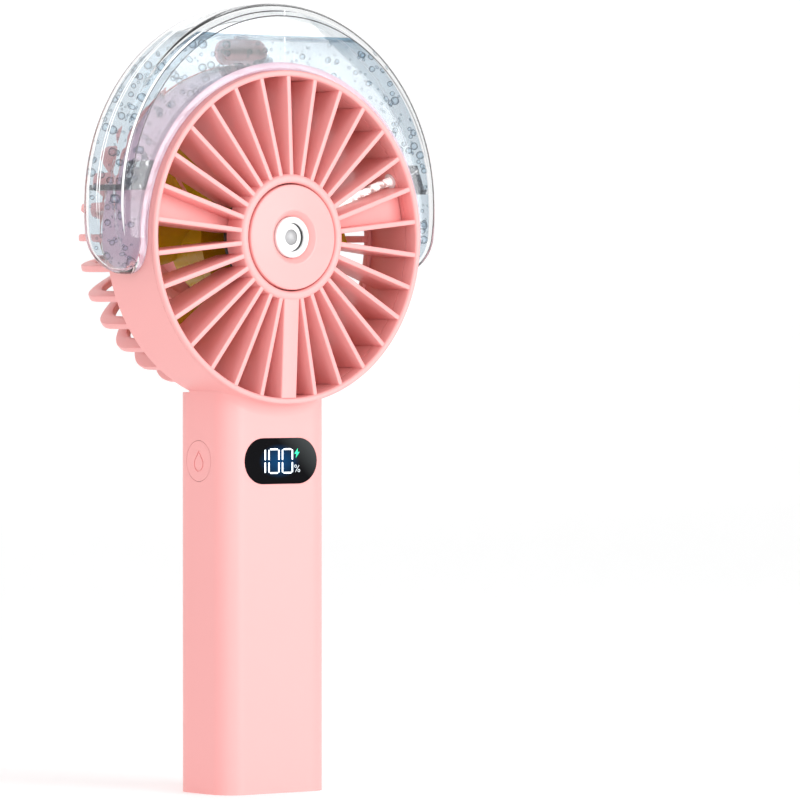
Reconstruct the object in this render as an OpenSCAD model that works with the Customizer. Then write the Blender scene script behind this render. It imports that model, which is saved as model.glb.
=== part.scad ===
// Handheld misting fan: a square handle, a round head with a front grille and a domed rear guard,
// a clear water tank over the head and a mist nozzle in the hub.
// The origin is the centre of the handle's base. +X is the user's right when looking at the front,
// the air leaves along -Y, and +Z is up. Inside the head, "depth" runs backwards from the front ring.

/* [Handle] */
// Width of the handle
handle_w = 36; // [35:0.5:38]
// Depth of the handle, front to back
handle_d = 24.7; // [24.2:0.1:26]
// Radius of the handle's upright edges
handle_r = 6.3; // [5.5:0.1:7]
// Wall of the handle
handle_wall = 1.8; // [1.6:0.1:1.9]
// Height of the display's and the buttons' centre
control_z = 91.8; // [90.5:0.1:92.5]

/* [Head] */
// Height of the head's axis above the base
head_z = 153.5; // [152:0.5:158]
// Outer radius of the barrel
barrel_r = 46; // [45.5:0.1:46.5]
// Wall of the barrel
barrel_wall = 1.7; // [1.6:0.1:1.8]
// Length of the barrel
barrel_len = 22.4; // [22:0.1:23]
// How far the front ring stands ahead of the handle
ring_proud = 5.05; // [4.5:0.05:5.5]

/* [Grille] */
// Places around the hub that hold a vane, the wide spoke counted as one
vane_places = 30; // [30]
// Thickness of a vane
vane_t = 1.3; // [1:0.1:1.4]
// Depth of a vane at the barrel
vane_depth = 15; // [12:0.5:15.5]
// Width of the wide spoke
spoke_w = 5.2; // [5:0.1:5.6]
// Outer radius of the hub ring
hub_r = 17.4; // [17.2:0.1:17.8]
// How far the hub stands ahead of the front ring
hub_proud = 1.4; // [1.2:0.1:1.6]

/* [Tank] */
// Radius of the tank's outer arc
tank_r = 55.2; // [55:0.1:56]
// How far the centre of that arc lies above the head's axis
tank_rise = 9.4; // [9:0.1:9.6]
// Depth at which the tank begins
tank_front = 2.4; // [2.2:0.1:2.6]
// Depth at which the tank ends
tank_rear = 23.2; // [23:0.1:23.4]
// Radius of the tank's rounded shoulders
tank_corner = 5; // [4.5:0.1:5.5]
// Wall of the tank
tank_wall = 1.6; // [1.4:0.1:1.7]

/* [Rear guard] */
// Number of ribs
rib_count = 30; // [30]
// Thickness of a rib
rib_t = 1.9; // [1.6:0.1:2]
// Width of a rib in its own plane
rib_band = 4; // [3.6:0.1:4.2]
// Depth at which the guard ends
guard_end = 50.2; // [50:0.1:51]

/* [Impeller] */
// Radius over the blade tips
impeller_r = 35.5; // [33:0.5:36]
// Number of blades
blade_count = 5; // [5:1:7]
// Angle at which the first blade rests
blade_rest = 62; // [0:1:71]
// Play all round at seams, guided pieces and plugs
fit = 0.12; // [0.08:0.01:0.15]

/* [Hidden] */
$fn = 96;

pink = "#f6b3b0";
front_y = -handle_d / 2 - ring_proud;
bore_r = barrel_r - barrel_wall;
inner_w = handle_w - 2 * handle_wall;
inner_d = handle_d - 2 * handle_wall;
inner_r = handle_r - handle_wall;
inner_top = 104;
handle_top = head_z - 42.8;
rebate_r = bore_r + 0.8;
ring_t = 1.5;
sleeve_end = 5;
pitch = 360 / vane_places;

// Base: cap, screws and charging port
cap_t = 2;
base_screw_x = 12.6;
boss_top = 11;
port_w = 8.94;
port_h = 3.26;
port_y = 5;
port_top = 7.6;
board_t = 1;

// Mist module, by depth
floor_front = 4.6;
floor_back = 5.8;
disc_r = 14.5;
plate_r = 7.5;
cup_r = 2.05;
cup_dome_r = 3.35;
module_r = 14.4;
module_back = 11.2;
wick_r = 2.9;
tube_depth = 8;
tube_hole_r = 2.2;
tube_r = 1.2;
tube_bore = 0.8;
tube_start = [17.8, 8];
tube_angle = 19.2;
tube_len = 30;
grommet_r = 2.15;

// Tank
tank_inner_r = barrel_r + 0.2;
leg_z = 0.1;
leg_round = 10.6;
leg_mid = (tank_front + tank_rear) / 2;
tank_seam = leg_mid - 0.5;
divider_z = 12.5;
divider_t = 1.4;
plug_z = 51.4;
plug_w = 17.2;
plug_h = 7.4;
plug_inset = 1.4;

// Motor and impeller, by depth
motor_r = 10;
motor_front = 28;
motor_back = 44.5;
motor_end = 47;
shaft_r = 1;
hub_front = 19;
hub_back = 34;
blade_front = 20;
blade_back = 33;
impeller_hub_r = 16.4;
blade_t = 1.4;
blade_lean = 14;
blade_twist = 46;

// Rear guard
guard_r = 42;
guard_turn = 36;
guard_hub_r = 16;
guard_power = 0.7;
guard_steps = 12;
lead_r = 0.5;
lead_gap = 0.75;
lead_depth = 26.1;

// Controls
button_r = 5.6;
button_y = 0.6;
button_flange_r = 6.3;
flange_t = 0.9;
switch_x = 13;
plunger_r = 1.4;
lens_w = 24.7;
lens_h = 12.5;
lens_x = 0.6;
lens_proud = 0.2;
lens_flange = 1;
lens_flange_w = 22;
pcb_front = -8.15;
pcb_t = 1.2;

// Battery
cell_r = 9.2;
cell_len = 65;
cell_z = 12;
cradle_t = 4;

// ---- Helpers ----

// Puts children in the head: local z is depth behind the front ring, local -y is up
module head() translate([0, front_y, head_z]) rotate([-90, 0, 0]) children();

// Rectangle with round corners, centred
module round_rect(w, h, r) {
    square([w - 2 * r, h], center = true);
    square([w, h - 2 * r], center = true);
    for (x = [-1, 1], y = [-1, 1]) translate([x * (w / 2 - r), y * (h / 2 - r)]) circle(r);
}

// Slot with round ends, centred, long side along x
module stadium(w, h) {
    square([w - h, h], center = true);
    for (x = [-1, 1]) translate([x * (w - h) / 2, 0]) circle(d = h);
}

// Ring between two radii and two depths
module ring(r_in, r_out, low, high) {
    translate([0, 0, low]) difference() {
        cylinder(r = r_out, h = high - low);
        translate([0, 0, -1]) cylinder(r = r_in, h = high - low + 2);
    }
}

// Round wire through a list of points, with a slightly fuller ball at each bend
module wire(points, r) {
    for (i = [0 : len(points) - 2]) {
        step = points[i + 1] - points[i];
        length = norm(step);
        turn = [0, acos(step[2] / length), atan2(step[1], step[0])];
        translate(points[i]) rotate(turn) cylinder(r = r, h = length, $fn = 24);
        if (i > 0) translate(points[i]) sphere(r = 1.12 * r, $fn = 24);
    }
}

// Plate in a radial plane of the head; its outline is in radius and depth
module radial_plate(angle, t, outline) {
    rotate([0, 0, angle]) rotate([90, 0, 0]) linear_extrude(t, center = true) polygon(outline);
}

// Puts children along the feed tube: local z runs outwards from the tube's inner end
module tube_line() {
    translate([tube_start[0], -tube_start[1], tube_depth]) rotate([0, 90, -tube_angle]) children();
}

function reversed(list) = [for (i = [len(list) - 1 : -1 : 0]) list[i]];

// ---- Handle ----

module screw_boss(x) {
    translate([x, 0, cap_t]) cylinder(r = 2.6, h = boss_top - cap_t);
    side = x > 0 ? 1 : -1;
    translate([x + side * 2.4, 0, (cap_t + boss_top) / 2]) cube([3, 1.6, boss_top - cap_t], center = true);
}

module barrel() {
    rotate_extrude($fn = 180) polygon([[rebate_r, ring_t], [barrel_r, ring_t], [barrel_r, barrel_len],
        [bore_r, barrel_len], [bore_r, sleeve_end + 0.1], [rebate_r, sleeve_end + 0.1]]);
}

module handle_tube() {
    difference() {
        union() {
            linear_extrude(handle_top) round_rect(handle_w, handle_d, handle_r);
            intersection() {
                translate([0, 0, handle_top - 4]) linear_extrude(6.2)
                    round_rect(handle_w, handle_d, handle_r);
                translate([-handle_w, -handle_d, 0])
                    cube([2 * handle_w, handle_d + front_y + barrel_len, head_z]);
            }
        }
        translate([0, 0, -1]) linear_extrude(inner_top + 1) round_rect(inner_w, inner_d, inner_r);
        head() cylinder(r = bore_r + 0.3, h = barrel_len, $fn = 180);
    }
    for (x = [-1, 1]) screw_boss(x * base_screw_x);
}

module main_housing() color(pink) difference() {
    union() {
        handle_tube();
        head() barrel();
    }
    for (x = [-1, 1]) translate([x * base_screw_x, 0, 1]) cylinder(r = 0.8, h = boss_top);
    translate([lens_x, 0, control_z]) rotate([90, 0, 0]) linear_extrude(handle_d)
        stadium(lens_w + 2 * fit, lens_h + 2 * fit);
    translate([0, button_y, control_z]) rotate([0, 90, 0])
        cylinder(r = button_r + fit, h = 2 * handle_w, center = true);
    translate([0, front_y + tube_depth, inner_top - 2]) cylinder(r = 1.8, h = 9);
    translate([0, front_y + lead_depth, inner_top - 2]) cylinder(r = 1.8, h = 12);
    head() tube_line() translate([0, 0, 20]) cylinder(r = tube_hole_r, h = 12);
}

module base_cap() color(pink) difference() {
    union() {
        linear_extrude(cap_t) round_rect(inner_w - 2 * fit, inner_d - 2 * fit, inner_r - fit);
        for (x = [-7.5, 7.5], y = [-5, 5]) translate([x, y, cap_t - 0.5])
            cylinder(r = 1.1, h = port_top - cap_t + 0.5);
    }
    for (x = [-1, 1]) translate([x * base_screw_x, 0, -1]) {
        cylinder(r = 1.1, h = 4);
        cylinder(r = 2.1, h = 2);
    }
    translate([0, port_y, -1]) linear_extrude(4) stadium(port_w + 0.16, port_h + 0.16);
}

module base_cap_screws() color("silver") for (x = [-1, 1]) translate([x * base_screw_x, 0, 0]) difference() {
    union() {
        translate([0, 0, 0.2]) cylinder(r = 1.9, h = 0.8);
        translate([0, 0, 0.8]) cylinder(r = 0.8, h = 7.2);
    }
    cube([2.6, 0.5, 0.9], center = true);
    cube([0.5, 2.6, 0.9], center = true);
}

module charge_pcb() color("#1f6b3a") translate([-9.5, -6.8, port_top]) cube([19, 13.6, board_t]);

module usb_c_port() color("silver") translate([0, port_y, 0]) {
    difference() {
        translate([0, 0, 0.3]) linear_extrude(port_top - 0.3) stadium(port_w, port_h);
        linear_extrude(port_top - 0.8) stadium(port_w - 0.6, port_h - 0.6);
    }
    translate([-3.3, -0.35, 1]) cube([6.6, 0.7, port_top - 1.5]);
}

// ---- Battery ----

module battery_cell() color("#3f7fb5") {
    translate([0, 0, cell_z]) cylinder(r = cell_r, h = cell_len);
    translate([0, 0, cell_z + cell_len - 0.5]) cylinder(r = 2.8, h = 1.2);
}

module battery_tabs() color("silver") {
    translate([-4, -8, cell_z - 0.2]) cube([8, 12, 0.2]);
    translate([-4, -5.5, cell_z + cell_len + 0.7]) cube([8, 8.5, 0.2]);
}

module battery_cradle() color("#3a3a3d") for (z = [16, 66]) translate([0, 0, z]) difference() {
    linear_extrude(cradle_t) round_rect(inner_w - 2 * fit, inner_d - 2 * fit, inner_r - fit);
    translate([0, 0, -1]) cylinder(r = cell_r + 0.05, h = cradle_t + 2);
    for (x = [-12, 12]) translate([x, -6, -1]) cylinder(r = 1.2, h = cradle_t + 2);
}

// ---- Controls ----

module display_lens() color("#101114") translate([lens_x, -handle_d / 2 - lens_proud, control_z])
    rotate([-90, 0, 0]) {
        linear_extrude(handle_wall + lens_proud) stadium(lens_w, lens_h);
        translate([0, 0, handle_wall + lens_proud]) linear_extrude(0.7)
            square([lens_flange_w, lens_h + 2 * lens_flange], center = true);
    }

module display_module() color("#2a2c30") translate([-11, pcb_front - 1.6, control_z - 5]) cube([22, 1.6, 10]);

module main_pcb() color("#1f6b3a") translate([-14.5, pcb_front, 79.5]) cube([29, pcb_t, 22.5]);

// A button on the +X side, drawn with its axis along x and its outer face flush with the handle
module side_button() {
    translate([handle_w / 2 - handle_wall - 0.2, button_y, control_z]) rotate([0, 90, 0])
        cylinder(r = button_r, h = handle_wall + 0.2);
    translate([handle_w / 2 - handle_wall - 0.1 - flange_t, button_y, control_z]) rotate([0, 90, 0]) {
        cylinder(r = button_flange_r, h = flange_t);
        translate([0, 0, -0.6]) cylinder(r = 1.6, h = 1);
    }
}

// Outline of a falling drop, its point up, of unit height
function drop_points() = concat([[0, 0.5]],
    [for (a = [30 : -10 : -210]) [0.37 * cos(a), -0.13 + 0.37 * sin(a)]]);

module drop_groove() difference() {
    scale(5.9) polygon(drop_points());
    translate([0, -0.1]) scale(4.9) polygon(drop_points());
}

module power_groove() {
    difference() {
        circle(2.3);
        circle(1.8);
        translate([-0.8, 0]) square([1.6, 4]);
    }
    translate([-0.25, 0.6]) square([0.5, 2.2]);
}

module mist_button() color(pink) mirror([1, 0, 0]) difference() {
    side_button();
    translate([handle_w / 2 - 0.25, button_y, control_z]) rotate([90, 0, 90]) linear_extrude(1) drop_groove();
}

module power_button() color(pink) difference() {
    side_button();
    translate([handle_w / 2 - 0.25, button_y, control_z]) rotate([90, 0, 90]) linear_extrude(1) power_groove();
}

module switch_bodies() color("#2a2c30") for (side = [-1, 1]) difference() {
    translate([side * (switch_x - 2) - 2, pcb_front + pcb_t, control_z - 3]) cube([4, 9.4, 6]);
    translate([side * switch_x, button_y, control_z]) rotate([0, 90, 0])
        cylinder(r = plunger_r + 0.1, h = 7, center = true);
}

module plunger(side) {
    stem_end = handle_w / 2 - handle_wall - 0.7 - flange_t;
    translate([side * (stem_end + 10.4) / 2, button_y, control_z]) rotate([0, 90, 0])
        cylinder(r = plunger_r, h = stem_end - 10.4, center = true);
}

module mist_plunger() color("#d8d4c8") plunger(-1);

module power_plunger() color("#d8d4c8") plunger(1);

// ---- Front of the head ----

vane_outline = [[hub_r - 0.8, 0.4 - hub_proud], [bore_r + 0.3, 0.4], [bore_r + 0.3, sleeve_end - 0.2],
    [bore_r - fit, sleeve_end - 0.2], [bore_r - fit, vane_depth], [hub_r + 0.6, vane_depth * 0.7],
    [hub_r - 0.8, floor_back - 0.3]];
spoke_wall = [[hub_r - 0.7, 0.6 - hub_proud], [bore_r - 0.2, 0.6], [bore_r - 0.2, 12], [hub_r + 0.7, 10],
    [hub_r - 0.7, floor_back - 0.4]];
spoke_face = [[hub_r - 0.75, 0.45 - hub_proud], [bore_r + 0.28, 0.45], [bore_r + 0.28, 2],
    [hub_r - 0.75, 2 - hub_proud]];

module grille_ring() rotate_extrude($fn = 180) polygon([[bore_r, sleeve_end], [bore_r, 0.5],
    [bore_r + 0.25, 0.15], [bore_r + 0.65, 0], [barrel_r - 0.65, 0], [barrel_r - 0.25, 0.15], [barrel_r, 0.5],
    [barrel_r, ring_t - 0.05], [rebate_r - 0.05, ring_t - 0.05], [rebate_r - 0.05, sleeve_end]]);

module grille_hub() rotate_extrude() polygon([[hub_r - 2.5, floor_front], [hub_r - 2.5, 0.6 - hub_proud],
    [hub_r - 2.1, 0.12 - hub_proud], [hub_r - 1.6, -hub_proud], [hub_r - 0.9, -hub_proud],
    [hub_r - 0.3, 0.15 - hub_proud], [hub_r, 0.6 - hub_proud], [hub_r, floor_back], [8.5, floor_back],
    [8.5, floor_front]]);

// Broad strut behind the vanes, filling the space between two of them
module strut() {
    half = pitch / 2 - 0.5;
    r_in = hub_r - 0.5;
    r_out = bore_r - 0.4;
    translate([0, 0, 6.2]) linear_extrude(2) polygon([[r_in * cos(half), -r_in * sin(half)],
        [r_out * cos(half), -r_out * sin(half)], [r_out, 0], [r_out * cos(half), r_out * sin(half)],
        [r_in * cos(half), r_in * sin(half)]]);
}

module wide_spoke() rotate([0, 0, 90]) {
    radial_plate(0, spoke_w, spoke_face);
    for (side = [-1, 1]) translate([0, side * (spoke_w / 2 - 0.6), 0]) radial_plate(0, 1, spoke_wall);
}

module front_grille() color(pink) head() {
    grille_ring();
    grille_hub();
    for (i = [1 : vane_places - 1]) radial_plate(90 + i * pitch, vane_t, vane_outline);
    for (angle = [-pitch, 180 + pitch]) rotate([0, 0, angle]) strut();
    wide_spoke();
}

module hub_cap() color(pink) head() rotate_extrude() polygon([[5.75, 1.2 - hub_proud],
    [7.3, -0.7 - hub_proud], [7.7, -0.8 - hub_proud], [13.9, -0.15 - hub_proud], [14.35, -hub_proud],
    [disc_r, 0.4 - hub_proud], [disc_r, floor_front - 0.05], [12.9, floor_front - 0.05],
    [12.9, 2.4 - hub_proud], [5.75, 2.4 - hub_proud]]);

module nozzle_ring() color("white") head() rotate_extrude() polygon([[3.95, 0.3 - hub_proud],
    [4.2, -0.1 - hub_proud], [5.3, -0.1 - hub_proud], [5.65, 0.3 - hub_proud], [5.65, 2.45 - hub_proud],
    [plate_r, 2.45 - hub_proud], [plate_r, 3.2], [3.95, 3.2]]);

module mist_seal_front() color("white") head() rotate_extrude() polygon([[cup_r + 0.1, 0.8 - hub_proud],
    [2.8, 0.8 - hub_proud], [2.95, 1 - hub_proud], [2.95, 3.2], [plate_r, 3.2], [plate_r, 4],
    [cup_r + 0.1, 4]]);

module mesh_plate() color("silver") head() {
    translate([0, 0, 4]) cylinder(r = plate_r, h = 0.4);
    intersection() {
        translate([0, 0, -hub_proud]) cylinder(r = cup_r, h = 4.2 + hub_proud);
        translate([0, 0, 0.3 - hub_proud + cup_dome_r]) sphere(r = cup_dome_r);
    }
}

module piezo_ring() color("#d9d2b8") head() ring(4.5, plate_r, 4.4, 5);

module mist_seal_rear() color("white") head() ring(wick_r + 0.1, plate_r, 5, floor_back);

module wick() color("#f4efe2") head() translate([0, 0, 4.4]) cylinder(r = wick_r, h = 5.6);

module mist_module_cover() color("#1b1b1d") head() difference() {
    union() {
        ring(module_r - 1.2, module_r, floor_back, 10.5);
        translate([0, 0, 10]) cylinder(r = module_r, h = module_back - 10);
        ring(wick_r + 0.1, wick_r + 1.3, floor_back, 10.5);
        tube_line() translate([0, 0, -6]) cylinder(r = tube_bore - 0.05, h = 9, $fn = 24);
    }
    tube_line() translate([0, 0, -8]) cylinder(r = 0.4, h = 12, $fn = 24);
    translate([0, module_r - 0.6, tube_depth]) cube([3, 3, 1.6], center = true);
}

module feed_tube() color("#dfe9ee", 0.5) head() tube_line() difference() {
    cylinder(r = tube_r, h = tube_len, $fn = 32);
    translate([0, 0, -1]) cylinder(r = tube_bore, h = tube_len + 2, $fn = 32);
}

module tube_grommet() color("white") head() tube_line() translate([0, 0, 24.6]) difference() {
    cylinder(r = grommet_r, h = 4, $fn = 32);
    translate([0, 0, -1]) cylinder(r = tube_r + 0.02, h = 6, $fn = 32);
}

// ---- Tank ----

// Solid of the tank's outer shape, shrunk all round by inset
module tank_form(inset) {
    r = tank_r - inset;
    c = tank_corner - inset;
    low = tank_front + inset;
    high = tank_rear - inset;
    leg_r = leg_round - inset;
    difference() {
        intersection() {
            translate([0, -tank_rise, 0]) rotate_extrude($fn = 180) {
                translate([0, low]) square([r - c, high - low]);
                translate([0, low + c]) square([r, high - low - 2 * c]);
                for (d = [low + c, high - c]) translate([r - c, d]) circle(c, $fn = 48);
            }
            union() {
                translate([-80, -80, 0]) cube([160, 80 - leg_z, 40]);
                intersection() {
                    translate([0, -leg_z - 0.01, leg_mid]) rotate([0, 90, 0])
                        cylinder(r = leg_r, h = 160, center = true);
                    for (x = [-barrel_r, barrel_r]) translate([x, -leg_z - 0.01, 0])
                        cylinder(r = leg_r, h = 40);
                }
            }
        }
        translate([0, 0, -1]) cylinder(r = tank_inner_r + inset, h = 50, $fn = 180);
    }
}

module tank_shell() color("#cfe3ec", 0.35) head() difference() {
    tank_form(0);
    tank_form(tank_wall);
    translate([-80, -80, tank_seam]) cube([160, 160, 20]);
    tube_line() translate([0, 0, 20]) cylinder(r = tube_hole_r, h = 10, $fn = 32);
}

module tank_back() color("#cfe3ec", 0.35) head() difference() {
    tank_form(0);
    tank_form(tank_wall);
    translate([-80, -80, tank_seam - 20]) cube([160, 160, 20]);
    translate([0, -plug_z, tank_rear - 5]) linear_extrude(10)
        stadium(plug_w - 2 * plug_inset, plug_h - 2 * plug_inset);
}

module tank_dividers() color("#cfe3ec", 0.5) head() difference() {
    intersection() {
        tank_form(tank_wall + 0.03);
        union() {
            translate([-80, -divider_z - divider_t, 0]) cube([160, divider_t, 40]);
            intersection() {
                translate([-80, -divider_z - 8, tank_front]) cube([160, 7, 9]);
                cylinder(r = 51.5, h = 40);
            }
        }
    }
    tube_line() translate([0, 0, 20]) cylinder(r = tube_hole_r, h = 12, $fn = 32);
}

module fill_plug() color("#f2a9a9") head() translate([0, -plug_z, tank_rear]) difference() {
    union() {
        translate([0, 0, 0.05]) linear_extrude(1.3) stadium(plug_w, plug_h);
        translate([0, 0, -tank_wall]) linear_extrude(2)
            stadium(plug_w - 2 * plug_inset - 0.2, plug_h - 2 * plug_inset - 0.2);
        translate([-2, -plug_h / 2 - 1.2, 0.05]) cube([4, 2, 1]);
    }
    translate([0, 0, 0.8]) linear_extrude(2) stadium(8, 1.6);
}

// ---- Motor, impeller and rear guard ----

module motor_can() color("silver") head() difference() {
    union() {
        translate([0, 0, motor_front]) cylinder(r = motor_r, h = motor_back - motor_front);
        translate([0, 0, motor_front - 1.5]) cylinder(r = 3.4, h = 2);
    }
    translate([0, 0, motor_front + 0.8]) cylinder(r = motor_r - 0.8, h = motor_back);
    translate([0, 0, motor_front - 5]) cylinder(r = 2.4, h = 10);
}

module motor_end_cap() color("#d9d4c4") head() difference() {
    ring(2.4, motor_r, motor_back, motor_end);
    for (x = [-6.5, 6.5]) translate([x, 0, motor_back - 1]) cylinder(r = 0.75, h = 5);
    translate([0, motor_r, 45.5]) cube([3.6, 4, 1.4], center = true);
}

module motor_magnets() color("#55585c") head() for (turn = [0, 180]) rotate([0, 0, turn]) intersection() {
    ring(7.4, motor_r - 0.85, 30.5, 42.5);
    translate([-6, 0, 30]) cube([12, 12, 13]);
}

module motor_rotor() color("#9c5a35") head() {
    ring(shaft_r, 6.9, 31, 41);
    ring(shaft_r, 2.6, 41, 43.5);
}

module motor_shaft() color("silver") head() translate([0, 0, 18.2]) cylinder(r = shaft_r, h = 28.4);

module front_bearing() color("#c9a455") head()
    ring(shaft_r + 0.03, 2.37, motor_front - 1.4, motor_front + 1.4);

module rear_bearing() color("#c9a455") head() ring(shaft_r + 0.03, 2.37, motor_back, motor_end - 0.3);

module motor_screws() color("silver") head() for (x = [-6.5, 6.5]) translate([x, 0, 0]) {
    translate([0, 0, motor_back + 0.3]) cylinder(r = 0.75, h = 4.6);
    difference() {
        translate([0, 0, 48.2]) cylinder(r = 1.5, h = 1);
        translate([-1, -0.2, 48.7]) cube([2, 0.4, 2]);
        translate([-0.2, -1, 48.7]) cube([0.4, 2, 2]);
    }
}

// Point on a blade's curved centre line at a radius, moved sideways by half the blade's thickness
function blade_point(r, side) =
    let (lean = blade_lean * pow((r - impeller_hub_r) / (impeller_r - impeller_hub_r), 2))
    [r * cos(lean) - side * blade_t / 2 * sin(lean), r * sin(lean) + side * blade_t / 2 * cos(lean)];

function blade_radii() =
    [for (i = [0 : 6]) impeller_hub_r - 0.6 + i * (impeller_r - impeller_hub_r + 0.6) / 6];

module blade_ring() linear_extrude(blade_back - blade_front, twist = blade_twist, slices = 8, $fn = 14)
    for (i = [0 : blade_count - 1]) rotate(blade_rest + i * 360 / blade_count)
        polygon(concat([for (r = blade_radii()) blade_point(r, 1)],
            [for (r = reversed(blade_radii())) blade_point(r, -1)]));

module impeller() color("#b8951c") head() {
    ring(shaft_r, 3, hub_front, 25.5);
    difference() {
        translate([0, 0, hub_front]) cylinder(r = impeller_hub_r, h = hub_back - hub_front);
        translate([0, 0, hub_front + 1.6]) cylinder(r = impeller_hub_r - 1.4, h = hub_back);
        translate([0, 0, hub_front - 1]) cylinder(r = shaft_r + 1, h = 5);
    }
    translate([0, 0, blade_front]) blade_ring();
}

module shaft_cap() color("#2a2c30") head() difference() {
    translate([0, 0, 17.4]) cylinder(r = 2.8, h = hub_front - 17.4);
    translate([0, 0, 18.2]) cylinder(r = shaft_r, h = 2);
}

// Points of the guard's dome, from the straight part of the rib to the hub
function dome(r, end) = [for (i = [0 : guard_steps]) let (a = 90 * i / guard_steps)
    [guard_hub_r + (r - guard_hub_r) * pow(cos(a), guard_power),
        guard_turn + (end - guard_turn) * pow(sin(a), guard_power)]];

rib_outline = concat([[bore_r - 0.6, 20.6], [bore_r - 0.6, barrel_len - 0.3], [guard_r, barrel_len + 0.8]],
    dome(guard_r, guard_end), reversed(dome(guard_r - rib_band, guard_end - rib_band + 0.4)),
    [[guard_r - rib_band, barrel_len + 2], [guard_r - 1, 20.6]]);

module rear_guard() color(pink) head() difference() {
    union() {
        ring(bore_r - 1.3, bore_r - 0.1, 20.2, barrel_len);
        for (i = [0 : rib_count - 1]) radial_plate(i * 360 / rib_count, rib_t, rib_outline);
        translate([-4.2, 40.2, barrel_len + 1.6]) cube([8.4, 1.4, 11]);
        translate([0, 0, motor_end + 0.05]) cylinder(r = guard_hub_r + 1, h = 1.6);
        ring(guard_hub_r - 0.7, guard_hub_r + 2, guard_end - rib_band + 0.2, guard_end + 0.3);
        ring(motor_r + 0.05, motor_r + 1.8, 34.5, motor_end + 0.6);
    }
    for (x = [-6.5, 6.5]) translate([x, 0, 46]) {
        cylinder(r = 0.9, h = 4);
        translate([0, 0, 2.1]) cylinder(r = 1.7, h = 3);
    }
    translate([0, 41, lead_depth]) cube([3.6, 6, 2.4], center = true);
    translate([0, 14, 45.5]) cube([3.6, 14, 1.6], center = true);
}

lead_path = [[52, lead_depth], [38.6, lead_depth], [38.6, 35], [34.6, 41.4], [27, 44], [18, 45.5], [8.5, 45.5]];

module motor_leads() for (side = [-1, 1]) color(side < 0 ? "#c0392b" : "#222222") head()
    wire([for (p = lead_path) [side * lead_gap, p[0], p[1]]], lead_r);

module mist_leads() color("#e8e8e8") head() for (side = [-1, 1])
    wire([[side * lead_gap, 52, tube_depth], [side * lead_gap, module_r - 2, tube_depth]], lead_r);

module handle_leads() {
    back = pcb_front + pcb_t + lead_r;
    color("#c0392b") wire([[0, -1, cell_z + cell_len + 1.5], [2, back, 83]], lead_r);
    color("#222222") wire([[-12, -6, 10.5], [-12, -6, 77], [-6, back, 83]], lead_r);
    color("#e8e8e8")
        wire([[8.6, -6, port_top + board_t + lead_r], [12, -6, 13], [12, -6, 77], [6, back, 83]], lead_r);
}

main_housing();
base_cap();
base_cap_screws();
front_grille();
hub_cap();
nozzle_ring();
mist_seal_front();
mesh_plate();
piezo_ring();
mist_seal_rear();
wick();
mist_module_cover();
feed_tube();
tube_grommet();
tank_shell();
tank_back();
tank_dividers();
fill_plug();
rear_guard();
motor_can();
motor_end_cap();
motor_magnets();
motor_rotor();
motor_shaft();
front_bearing();
rear_bearing();
motor_screws();
impeller();
shaft_cap();
display_lens();
display_module();
main_pcb();
mist_button();
power_button();
switch_bodies();
mist_plunger();
power_plunger();
battery_cell();
battery_tabs();
battery_cradle();
charge_pcb();
usb_c_port();
motor_leads();
mist_leads();
handle_leads();
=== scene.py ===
"""Looks of a handheld misting fan: moulded pink shells, a clear water tank, a lit display and a pale studio.

Depth runs backwards from the front ring along +Y, and "up" is the height above the head's axis.
All lengths are in metres.
"""
import math

import bmesh
import bpy
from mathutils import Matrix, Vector


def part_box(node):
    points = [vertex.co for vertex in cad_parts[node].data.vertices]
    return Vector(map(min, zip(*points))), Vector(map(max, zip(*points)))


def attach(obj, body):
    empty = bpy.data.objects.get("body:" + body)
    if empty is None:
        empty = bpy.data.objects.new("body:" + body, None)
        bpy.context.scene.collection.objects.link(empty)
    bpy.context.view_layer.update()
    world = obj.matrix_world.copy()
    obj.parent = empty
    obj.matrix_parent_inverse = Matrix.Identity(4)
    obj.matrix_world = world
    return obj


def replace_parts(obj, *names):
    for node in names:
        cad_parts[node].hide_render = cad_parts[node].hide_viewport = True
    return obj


bl_info = {
    "name": "Misting fan looks",
    "version": (1, 0, 0),
    "blender": (4, 5, 0),
    "location": "View3D > Sidebar > Fan",
    "description": "Builds the visible pieces, the finishes and the studio of a handheld misting fan",
    "category": "Object",
}

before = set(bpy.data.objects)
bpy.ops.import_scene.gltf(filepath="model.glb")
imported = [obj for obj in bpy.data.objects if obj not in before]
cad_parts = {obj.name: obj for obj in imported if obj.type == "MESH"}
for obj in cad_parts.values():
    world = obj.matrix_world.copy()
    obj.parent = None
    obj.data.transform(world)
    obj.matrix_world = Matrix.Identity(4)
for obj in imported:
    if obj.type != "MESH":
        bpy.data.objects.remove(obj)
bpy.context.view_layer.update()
MM = 0.001
BODY = "fan_body"
# Direction of view, turned from +Y towards +X
BEARING = math.radians(37)
# How far the hub stands ahead of the front ring
HUB_PROUD = 1.4 * MM

RING_LOW, RING_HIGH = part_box("front_grille")
TANK_LOW, TANK_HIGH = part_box("tank_shell")
BACK_LOW, BACK_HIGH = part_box("tank_back")
LENS_LOW, LENS_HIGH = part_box("display_lens")
CAP_LOW, CAP_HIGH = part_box("base_cap")

BARREL_R = (RING_HIGH.x - RING_LOW.x) / 2
AXIS = Vector(((RING_LOW.x + RING_HIGH.x) / 2, RING_LOW.y + HUB_PROUD, (RING_LOW.z + RING_HIGH.z) / 2))
TANK_TOP = TANK_HIGH.z - AXIS.z
GUARD_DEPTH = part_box("rear_guard")[1].y - AXIS.y


# ---- Sizes and colours ----

def length(label, about, millimetres):
    return bpy.props.FloatProperty(name=label, description=about, default=millimetres * MM, unit="LENGTH")


def whole(label, about, default, low=0):
    return bpy.props.IntProperty(name=label, description=about, default=default, min=low)


def colour(label, about, default):
    return bpy.props.FloatVectorProperty(name=label, description=about, default=default, subtype="COLOR",
                                         size=3)


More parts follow.
